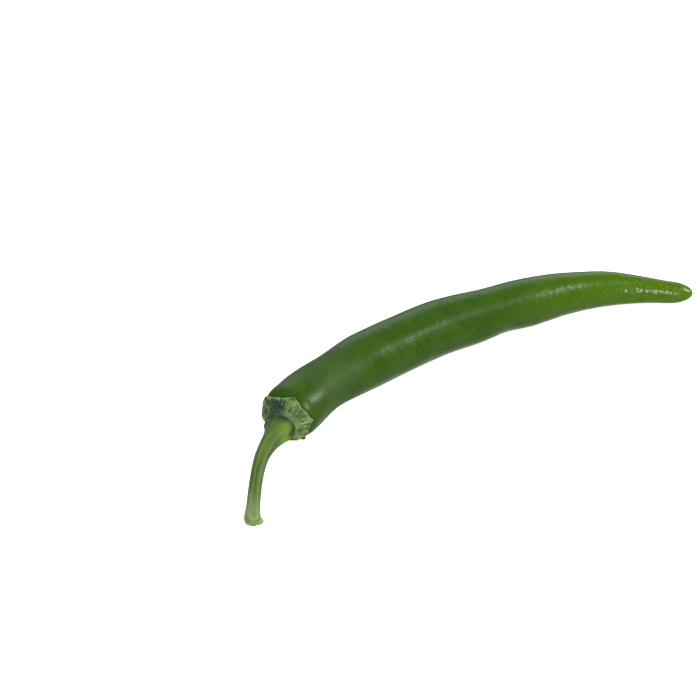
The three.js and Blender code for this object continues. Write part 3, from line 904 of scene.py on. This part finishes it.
    # One old nick on the left of the shank
    nick = (stem.radius * math.cos(NICK_TURN), stem.radius * math.sin(NICK_TURN), NICK_PLACE)
    away = add("ShaderNodeVectorMath", {"operation": "DISTANCE"}, {0: place, 1: nick})["Value"]
    nicked = add("ShaderNodeMapRange", {"interpolation_type": "SMOOTHSTEP"}, {
        "Value": away, "From Min": 0.3 * MM, "From Max": 0.7 * MM, "To Min": 0.8, "To Max": 0.0})["Result"]
    rubbed = add("ShaderNodeMath", {"operation": "MAXIMUM"}, {0: rubbed, 1: nicked})["Value"]
    layers = (
        (lit, stem.green), (painted_side_shade, stem.furrow), (yellow_and_painted_light, stem.bright),
        (painted_root_shade, stem.crease), (footed, stem.foot), (rubbed, stem.brown),
    )
    green = stem.furrow
    for share, colour in layers:
        green = add("ShaderNodeMix", {"data_type": "RGBA"}, {
            MIX_FACTOR: share, MIX_A: green, MIX_B: colour})[MIX_RESULT]
    roughness = add("ShaderNodeMapRange", {}, {
        "Value": fibres, "From Min": 0.3, "From Max": 0.7, "To Min": 0.32, "To Max": 0.5})["Result"]
    grained = add("ShaderNodeBump", {}, {"Height": fibres, "Strength": 1.0, "Distance": 0.06 * MM})["Normal"]
    feed(tree, shader, {
        "Base Color": green, "Roughness": roughness, "Normal": grained, "IOR": LEAF_IOR,
        "Subsurface Weight": 0.1, "Subsurface Radius": (0.6, 1.0, 0.3), "Subsurface Scale": 0.8 * MM})
    return material


# ---- the pieces ----
class CHILLI_OT_pod(bpy.types.Operator):
    """Grow the pod: a waxed skin swept along its bend, with lobes, swellings and slight dents"""

    bl_idname = "chilli.add_pod"
    bl_label = "Pod"

    def execute(self, context):
        sizes = context.scene.chilli_pod
        pod = PodShape(sizes)
        shift = growing_point(pod)
        ribs = (sizes.lobes, sizes.lobe_depth, sizes.lobe_turn, sizes.lobe_twist / sizes.length)
        dents = (sizes.dent_height, sizes.dent_width, sizes.dent_length)
        piece = sweep("pod_skin", pod, shift, ribs, dents, POD_SEED, pod_skin_material(sizes))
        along, turn, centre, outwards = swept_places(piece.data)
        swell = 1 + pod.swelling(along, turn) / pod.lobe(along, turn)
        write_points(piece.data, rested(centre + outwards * swell[:, None]))
        finish_piece(piece, "pod")
        return {"FINISHED"}


class CHILLI_OT_calyx(bpy.types.Operator):
    """Lay the calyx over the pod's shoulder: a crumpled cap with a rib and a dry spur at each tooth"""

    bl_idname = "chilli.add_calyx"
    bl_label = "Calyx"

    def execute(self, context):
        sizes = context.scene.chilli_calyx
        pod = PodShape(context.scene.chilli_pod)
        stem = StemShape(context.scene.chilli_stem, pod, sizes)
        shift = growing_point(pod)
        columns = np.arange(CALYX_COLUMNS) * 360 / CALYX_COLUMNS
        share, turn = np.meshgrid(np.linspace(0, 1, CALYX_ROWS), columns, indexing="ij")
        middle, spur_share = self.laid_surface(sizes, pod, stem, share, turn)
        down = np.gradient(middle, axis=0)
        across = np.roll(middle, -1, axis=1) - np.roll(middle, 1, axis=1)
        normal = unit(np.cross(across, down))
        relief, marks = self.relief(sizes, share, turn, spur_share, middle)
        outer = middle + normal * relief[..., None]
        wall = sizes.wall + (sizes.rim_wall - sizes.wall) * ease(0.7, 1, share)
        inner = outer - normal * wall[..., None]
        # The edge bulges a little past the rim between the two faces.
        past = unit(down[-1]) * (0.35 * sizes.rim_wall)
        edge = [
            outer[-1] * (1 - part) + inner[-1] * part + past * math.sin(math.pi * part)
            for part in np.linspace(0, 1, EDGE_ROWS + 2)[1:-1]
        ]
        inner_rows = np.linspace(CALYX_ROWS - 1, 0, INNER_ROWS).astype(int)
        sheet = np.concatenate([outer, edge, inner[inner_rows]]) + shift
        source_rows = np.concatenate([np.arange(CALYX_ROWS), [CALYX_ROWS - 1] * EDGE_ROWS, inner_rows])
        mesh = closed_sheet("calyx_cap", sheet)
        write_attribute(mesh, "straight", middle[source_rows].reshape(-1, 3))
        for name, values in marks.items():
            write_attribute(mesh, name, values[source_rows].ravel())
        close_up(mesh)
        mesh.shade_smooth()
        mesh.materials.append(calyx_material(sizes))
        piece = bpy.data.objects.new("calyx_cap", mesh)
        context.scene.collection.objects.link(piece)
        finish_piece(piece, "calyx")
        return {"FINISHED"}

    def laid_surface(self, sizes, pod, stem, share, turn):
        """The cap before it crumples: up out of the stem's collar, over the shoulder and out to the rim."""
        spur_share = np.zeros(np.shape(turn))
        lift = np.zeros(np.shape(turn))
        for side, _, _, raised, half_width in TEETH:
            off = turn_between(turn, side)
            spur_share = np.maximum(spur_share, hump(off, 0, SPUR_SPREAD * half_width))
            lift = lift + raised * MM * hump(off, 0, LIFT_REACH)
        wave = np.array([
            noise.noise(Vector((math.cos(a) * EDGE_WAVES, math.sin(a) * EDGE_WAVES, EDGE_SEED)))
            for a in np.radians(turn[0])
        ])
        edge_turn, edge_latitude = np.array(CALYX_EDGE, float).T
        rim = np.interp((turn - edge_turn[0]) % 360 + edge_turn[0], edge_turn, edge_latitude)
        rim = rim + EDGE_WAVE * wave

        # The collar rises out of the stem's flare, highest on top.
        stem_turn = (180 - turn) % 360
        collar = COLLAR_HEIGHT * hump(turn_between(stem_turn, COLLAR_TOP), 0, COLLAR_REACH)
        start = stem.ring_places(collar, stem_turn, stem.radius(collar) - COLLAR_BITE)
        stem_centre, stem_direction = stem.axis(collar)
        outward = unit(start - stem_centre)
        pole, _ = pod.axis(pod.sizes.shoulder_start - pod.sizes.shoulder_depth)
        reach = np.linalg.norm(start - pole, axis=-1)
        clearance = sizes.seat_gap + sizes.wall
        widest = pod.radius(pod.sizes.shoulder_start) + clearance
        near = np.clip((reach + COLLAR_ROLL) / widest, 0, 0.95)
        first = np.degrees(np.arcsin(near ** (SHOULDER_SQUARENESS / 2)))
        first = np.minimum(first, rim - LEAST_BAND)

        band = np.clip((share - COLLAR_SHARE) / (1 - COLLAR_SHARE), 0, 1)
        latitude = first + (rim - first) * band
        latitude = latitude + math.degrees(sizes.spur_latitude) * spur_share * ease(0.9, 1, band)
        curl = (CURL * (1 - spur_share) + lift) * ease(0.82, 1, band)

        def laid(place, stands_off):
            radius, along = pod.shoulder(place, stands_off)
            return pod.ring_places(along, turn, radius * (pod.lobe(along, turn) + pod.swelling(along, turn)))

        over = laid(latitude, clearance + curl)
        end = laid(first, clearance)
        leaving = unit(end - laid(first - 1.0, clearance))
        length = np.linalg.norm(end - start, axis=-1, keepdims=True)
        # The collar leaves the stem outwards and a little backwards, and bends into the shoulder's slope.
        rising = unit(outward * 0.85 + stem_direction * 0.35)
        t = np.clip(share / COLLAR_SHARE, 0, 1)[..., None]
        collar_points = (
            start * (2 * t ** 3 - 3 * t ** 2 + 1) + rising * length * (t ** 3 - 2 * t ** 2 + t)
            + end * (3 * t ** 2 - 2 * t ** 3) + leaving * length * (t ** 3 - t ** 2)
        )
        return np.where((share < COLLAR_SHARE)[..., None], collar_points, over), spur_share

    def relief(self, sizes, share, turn, spur_share, middle):
        """How far each point of the cap stands out, and its colour marks."""
        tent = np.zeros(np.shape(turn))
        crest = np.zeros(np.shape(turn))
        dry = np.zeros(np.shape(turn))
        bleached = np.zeros(np.shape(turn))
        for side, dryness, tan, _, half_width in TEETH:
            off = turn_between(turn, side)
            tent = np.maximum(tent, 1 - np.abs(off) / FAN_REACH)
            crest = np.maximum(crest, hump(off, 0, CREST_REACH))
            spot = hump(off, 0, DRY_SPREAD * half_width) * ease(0.84, 0.95, share)
            dry = np.maximum(dry, dryness * ease(0.25, 0.8, spot))
            bleached = np.maximum(bleached, tan * hump(off, 0, BLEACHED_REACH))
        puckers = surface_noise(middle / PUCKER_SIZE, 3)
        crumples = 1 - 2 * np.abs(surface_noise(middle / CRUMPLE_SIZE + CRUMPLE_SEED, 2))
        around = np.radians(turn)
        pleats = surface_noise(np.stack([
            np.cos(around) * PLEATS_ROUND, np.sin(around) * PLEATS_ROUND, share * PLEATS_OUT,
        ], -1), 2)
        # The cap is smooth where it grips the stem, and smoother again on the flange near its edge.
        body = ease(0.03, 0.25, share)
        flange = ease(0.72, 0.9, share)
        crown = sizes.crown_height * hump(share, 0.42, 0.2)
        ribs = 0.6 * tent + 0.7 * crest - 0.45
        wrinkles = puckers + 0.9 * (crumples - 0.5)
        relief = crown + body * (
            sizes.rib_height * ribs * (1 - 0.7 * flange)
            + sizes.wrinkle_height * wrinkles * (1 - 0.8 * flange)
            + sizes.pleat_height * pleats
        )
        # One side is darker than the rest, except on the flange: partly the calyx's own colour and partly
        # painted shade.
        shaded = hump(turn_between(turn, SHADED_TURN), 0, SHADED_REACH) * (1 - 0.85 * ease(0.7, 0.88, share))
        # The fold and pleat marks carry the relief's height, which the material paints as light on raised
        # parts and as shade in hollows.
        marks = {
            "fold": np.clip((relief - crown) / (0.35 * MM), -1, 1),
            "pleat": pleats * ease(0.25, 0.5, share),
            "shaded": shaded,
            "rim": ease(0.965, 0.99, share) * (1 - dry) * np.clip(0.75 + 0.6 * puckers, 0, 1),
            "dry": dry,
            "bleached": bleached,
        }
        return relief, marks


class CHILLI_OT_stem(bpy.types.Operator):
    """Grow the stem: a ridged stalk that flares into the calyx and ends in a domed, paler foot with a lip"""

    bl_idname = "chilli.add_stem"
    bl_label = "Stem"

    def execute(self, context):
        sizes = context.scene.chilli_stem
        pod = PodShape(context.scene.chilli_pod)
        shift = growing_point(pod)
        stem = StemShape(sizes, pod, context.scene.chilli_calyx)
        ribs = (sizes.ridges, sizes.ridge_depth, sizes.ridge_turn, sizes.ridge_twist / sizes.length)
        dents = (sizes.streak_height, sizes.streak_width, sizes.streak_length)
        piece = sweep("stalk", stem, shift, ribs, dents, STEM_SEED, stem_material(sizes))
        along, turn, centre, outwards = swept_places(piece.data)
        share = along / sizes.length
        flat = 1 - sizes.foot_flatten * ease(0.8, 1, share) * np.sin(np.radians(turn)) ** 2
        outwards = outwards * flat[:, None]
        # The foot draws out into a lip on one side and bulges on the other.
        to_end = sizes.length - along
        lip = hump(turn_between(turn, LIP_TURN), 0, 36) * hump(to_end, 0.3 * MM, 1.1 * MM)
        heel = hump(turn_between(turn, LIP_TURN + 180), 0, 60) * hump(to_end, 3 * MM, 2 * MM)
        # A faint crease runs round the flare.
        crease_place, crease_reach, crease_depth = FLARE_CREASE
        crease = crease_depth * hump(along, crease_place, crease_reach)
        growth = sizes.lip_height * (lip + HEEL_SHARE * heel) - crease
        girth = np.maximum(np.linalg.norm(outwards, axis=-1), 0.01 * MM)
        growth = np.minimum(girth / FULL_GIRTH, 1) * growth
        write_points(piece.data, rested(centre + outwards * (1 + growth / girth)[:, None]))
        finish_piece(piece, "stem")
        return {"FINISHED"}


# ---- the stage ----
FLOOR_HALF = 25.0  # metres
WHITE = (1, 1, 1, 1)
COOL_WHITE = (0.82, 0.93, 1.0)  # of the light behind
SKY_SPREAD = math.radians(110)  # the overhead light is as soft as this much of the sky
# Each area light's place, the place it shines at, its width and its height, in metres. The first three
# make the highlights: the shoulder's, the belly's and the one near the tip.
AREA_LIGHTS = {
    "shoulder": ((0.695, -0.226, 0.4), (-0.06, 0, 0), 0.18, 0.36),
    "belly": ((0.42, -0.31, 0.6), (-0.02, 0.01, 0), 0.2, 0.06),
    "front": ((0.04, -0.79, 0.42), (0.07, 0, 0), 0.09, 0.42),
    "fill": ((-0.6, -0.3, 0.5), (0, 0, 0), 0.6, 0.6),
    "back": ((0.55, 0.91, 0.42), (0, 0, 0), 1.2, 0.6),
}
SENSOR_WIDTH = 36  # millimetres
NEAREST = 0.01  # metres, nearer than which the camera sees nothing


class CHILLI_OT_stage(bpy.types.Operator):
    """Set the stage: a pale floor, soft studio light and the camera"""

    bl_idname = "chilli.set_stage"
    bl_label = "Stage"

    def execute(self, context):
        stage = context.scene.chilli_stage
        self.floor(context, stage)
        self.world(context, stage)
        self.lights(context, stage)
        self.camera(context, stage)
        context.scene.view_settings.view_transform = "Standard"
        return {"FINISHED"}

    def floor(self, context, stage):
        mesh = bpy.data.meshes.new("floor")
        corners = [(x * FLOOR_HALF, y * FLOOR_HALF, 0) for x, y in ((-1, -1), (1, -1), (1, 1), (-1, 1))]
        mesh.from_pydata(corners, [], [(0, 1, 2, 3)])
        # Matt paint on board: no highlight, and a grain of 4 mm that is too faint to notice
        material, tree, shader = new_material("Matt Painted Board")
        add = functools.partial(add_node, tree)
        place = add("ShaderNodeTexCoord")["Object"]
        grain = add("ShaderNodeTexNoise", {}, {"Vector": place, "Scale": 1 / (4 * MM)})["Fac"]
        tone = add("ShaderNodeMapRange", {}, {"Value": grain, "To Min": 0.99, "To Max": 1.0})["Result"]
        colour = add("ShaderNodeVectorMath", {"operation": "SCALE"}, {
            0: stage.floor[:3], "Scale": tone})["Vector"]
        seen = add("ShaderNodeLightPath")["Is Camera Ray"]
        glow = add("ShaderNodeMapRange", {}, {
            "Value": seen, "To Min": stage.floor_glow, "To Max": stage.floor_shine})["Result"]
        feed(tree, shader, {
            "Base Color": colour, "Roughness": 0.9, "Specular IOR Level": 0.2,
            "Emission Color": WHITE, "Emission Strength": glow})
        mesh.materials.append(material)
        floor = bpy.data.objects.new("floor", mesh)
        context.scene.collection.objects.link(floor)
        # Gloss sees the world's lower half in place of the floor, so the skin keeps its deep green.
        floor.visible_glossy = False

    def world(self, context, stage):
        """White to the camera. In reflections, dim walls above and the table's soft glow below."""
        world = bpy.data.worlds.new("Studio")
        context.scene.world = world
        world.use_nodes = True
        tree = world.node_tree
        add = functools.partial(add_node, tree)
        way = add("ShaderNodeTexCoord")["Generated"]
        parts = add("ShaderNodeSeparateXYZ", {}, {"Vector": way})
        glow = add("ShaderNodeMapRange", {"interpolation_type": "SMOOTHSTEP"}, {
            "Value": parts["Z"], "From Min": -0.4, "From Max": 0.05,
            "To Min": stage.table_glow, "To Max": stage.surround})["Result"]
        # The table is brightest towards the back, where the soft light stands.
        open_table = add("ShaderNodeMapRange", {"interpolation_type": "SMOOTHSTEP"}, {
            "Value": parts["Y"], "From Min": -0.05, "From Max": 0.3, "To Min": 0.35})["Result"]
        glow = add("ShaderNodeMath", {"operation": "MULTIPLY"}, {0: glow, 1: open_table})["Value"]
        seen = add("ShaderNodeLightPath")["Is Camera Ray"]
        strength = add("ShaderNodeMath", {"operation": "MAXIMUM"}, {0: seen, 1: glow})["Value"]
        feed(tree, tree.nodes["Background"], {"Color": WHITE, "Strength": strength})

    def lights(self, context, stage):
        def add_light(name, kind, place, aim, **settings):
            light = bpy.data.lights.new(name, kind)
            for key, value in settings.items():
                setattr(light, key, value)
            lamp = bpy.data.objects.new(name, light)
            lamp.location = place
            lamp.rotation_euler = (Vector(aim) - Vector(place)).to_track_quat("-Z", "Y").to_euler()
            lamp.visible_camera = False
            context.scene.collection.objects.link(lamp)
            return lamp

        overhead = add_light("overhead", "SUN", (0, 0, 1), (0.1, 0.1, 0),
                             energy=stage.overhead, angle=SKY_SPREAD)
        lamps = {
            name: add_light(name, "AREA", place, aim, shape="RECTANGLE", size=width, size_y=height,
                            energy=getattr(stage, name + "_power"))
            for name, (place, aim, width, height) in AREA_LIGHTS.items()
        }
        lamps["back"].data.color = COOL_WHITE
        # These two light the chilli softly and don't show in its gloss.
        for lamp in (overhead, lamps["fill"]):
            lamp.visible_glossy = False

    def camera(self, context, stage):
        lens = bpy.data.cameras.new("camera")
        lens.lens = stage.lens
        lens.sensor_width = SENSOR_WIDTH
        lens.clip_start = NEAREST
        camera = bpy.data.objects.new("camera", lens)
        level = math.cos(stage.elevation)
        away = Vector((
            math.sin(stage.azimuth) * level,
            -math.cos(stage.azimuth) * level,
            math.sin(stage.elevation),
        ))
        camera.location = Vector(stage.target) + away * stage.distance
        camera.rotation_euler = (-away).to_track_quat("-Z", "Y").to_euler()
        context.scene.collection.objects.link(camera)
        context.scene.camera = camera


class CHILLI_PT_sidebar(bpy.types.Panel):
    """The chilli's pieces and their settings"""

    bl_idname = "CHILLI_PT_sidebar"
    bl_label = "Chilli Pepper"
    bl_space_type = "VIEW_3D"
    bl_region_type = "UI"
    bl_category = "Chilli"

    def draw(self, context):
        for settings_name, operator in SECTIONS:
            section = self.layout.box()
            section.operator(operator.bl_idname)
            settings = getattr(context.scene, settings_name)
            for name in settings.bl_rna.properties.keys():
                if name not in ("rna_type", "name"):
                    section.prop(settings, name)


SETTINGS = {
    "chilli_pod": PodSettings,
    "chilli_calyx": CalyxSettings,
    "chilli_stem": StemSettings,
    "chilli_stage": StageSettings,
}
SECTIONS = [
    ("chilli_pod", CHILLI_OT_pod),
    ("chilli_calyx", CHILLI_OT_calyx),
    ("chilli_stem", CHILLI_OT_stem),
    ("chilli_stage", CHILLI_OT_stage),
]


def register():
    for name, settings in SETTINGS.items():
        bpy.utils.register_class(settings)
        setattr(bpy.types.Scene, name, PointerProperty(type=settings))
    for _, operator in SECTIONS:
        bpy.utils.register_class(operator)
    bpy.utils.register_class(CHILLI_PT_sidebar)


def unregister():
    bpy.utils.unregister_class(CHILLI_PT_sidebar)
    for _, operator in reversed(SECTIONS):
        bpy.utils.unregister_class(operator)
    for name, settings in SETTINGS.items():
        delattr(bpy.types.Scene, name)
        bpy.utils.unregister_class(settings)


def main():
    register()
    bpy.ops.chilli.add_pod()
    bpy.ops.chilli.add_calyx()
    bpy.ops.chilli.add_stem()
    bpy.ops.chilli.set_stage()


if __name__ == "__main__":
    main()
